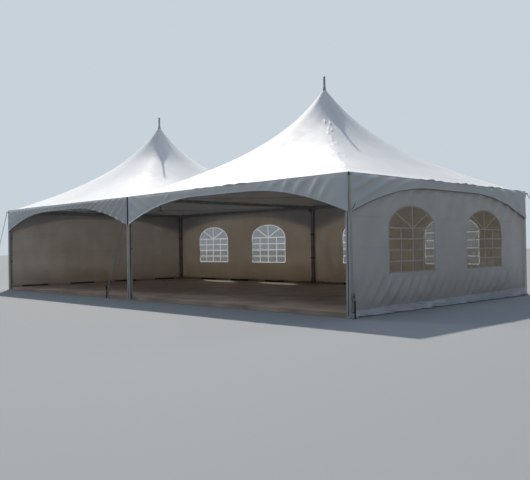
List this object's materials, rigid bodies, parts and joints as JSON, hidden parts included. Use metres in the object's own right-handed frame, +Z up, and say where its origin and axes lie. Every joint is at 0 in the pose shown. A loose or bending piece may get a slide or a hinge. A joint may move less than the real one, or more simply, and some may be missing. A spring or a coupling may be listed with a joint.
{
  "type": "marquee tent",
  "caption": "Marquee of square bays, each with a tall pointed fabric roof on a mast; open front under arched valances, round-headed windows in the walls, timber floor, stakes and straps.",
  "frame": {"origin": "middle of the floor's underside, on the ground, under the middle beam", "axes": "+X along the open front, to the right as seen from the front; +Y from the front to the back wall; +Z up"},
  "size_m": [14.1248, 7.4648, 4.72],
  "materials": {
    "canopy_fabric": "white coated fabric, satin",
    "wall_fabric": "white coated fabric, slightly thinner and greyer",
    "window_film": "clear flexible film with white printed bars",
    "aluminium": "mill-finished extrusion",
    "steel": "galvanised wire and ring",
    "webbing": "woven polyester strap",
    "dark_steel": "dark weathered steel",
    "timber": "worn dark boards"
  },
  "bodies": {
    "root": {"floor": "timber", "post_front_left": "aluminium", "post_front_middle": "aluminium", "post_front_right": "aluminium", "post_back_left": "aluminium", "post_back_middle": "aluminium", "post_back_right": "aluminium", "beam_front_left": "aluminium", "beam_front_right": "aluminium", "beam_back_left": "aluminium", "beam_back_right": "aluminium", "beam_left": "aluminium", "beam_middle": "aluminium", "beam_right": "aluminium", "mast_left": "aluminium", "mast_right": "aluminium", "cable_cross_left": "steel", "cable_cross_right": "steel", "canopy_left": "canopy_fabric", "canopy_right": "canopy_fabric", "valance_front_left": "canopy_fabric", "valance_front_right": "canopy_fabric", "valance_back_left": "canopy_fabric", "valance_back_right": "canopy_fabric", "valance_left": "canopy_fabric", "valance_right": "canopy_fabric", "wall_left": "wall_fabric", "wall_right": "wall_fabric", "wall_back_left": "wall_fabric", "wall_back_right": "wall_fabric", "window_right_front": "window_film", "window_right_back": "window_film", "window_back_left_outer": "window_film", "window_back_left_inner": "window_film", "window_back_right_outer": "window_film", "window_back_right_inner": "window_film", "strap_front_left": "webbing", "strap_front_middle": "webbing", "strap_front_right": "webbing", "strap_back_left": "webbing", "strap_back_middle": "webbing", "strap_back_right": "webbing", "stake_front_left": "dark_steel", "stake_front_middle": "dark_steel", "stake_front_right": "dark_steel", "stake_back_left": "dark_steel", "stake_back_middle": "dark_steel", "stake_back_right": "dark_steel"}
  },
  "joints": []
}
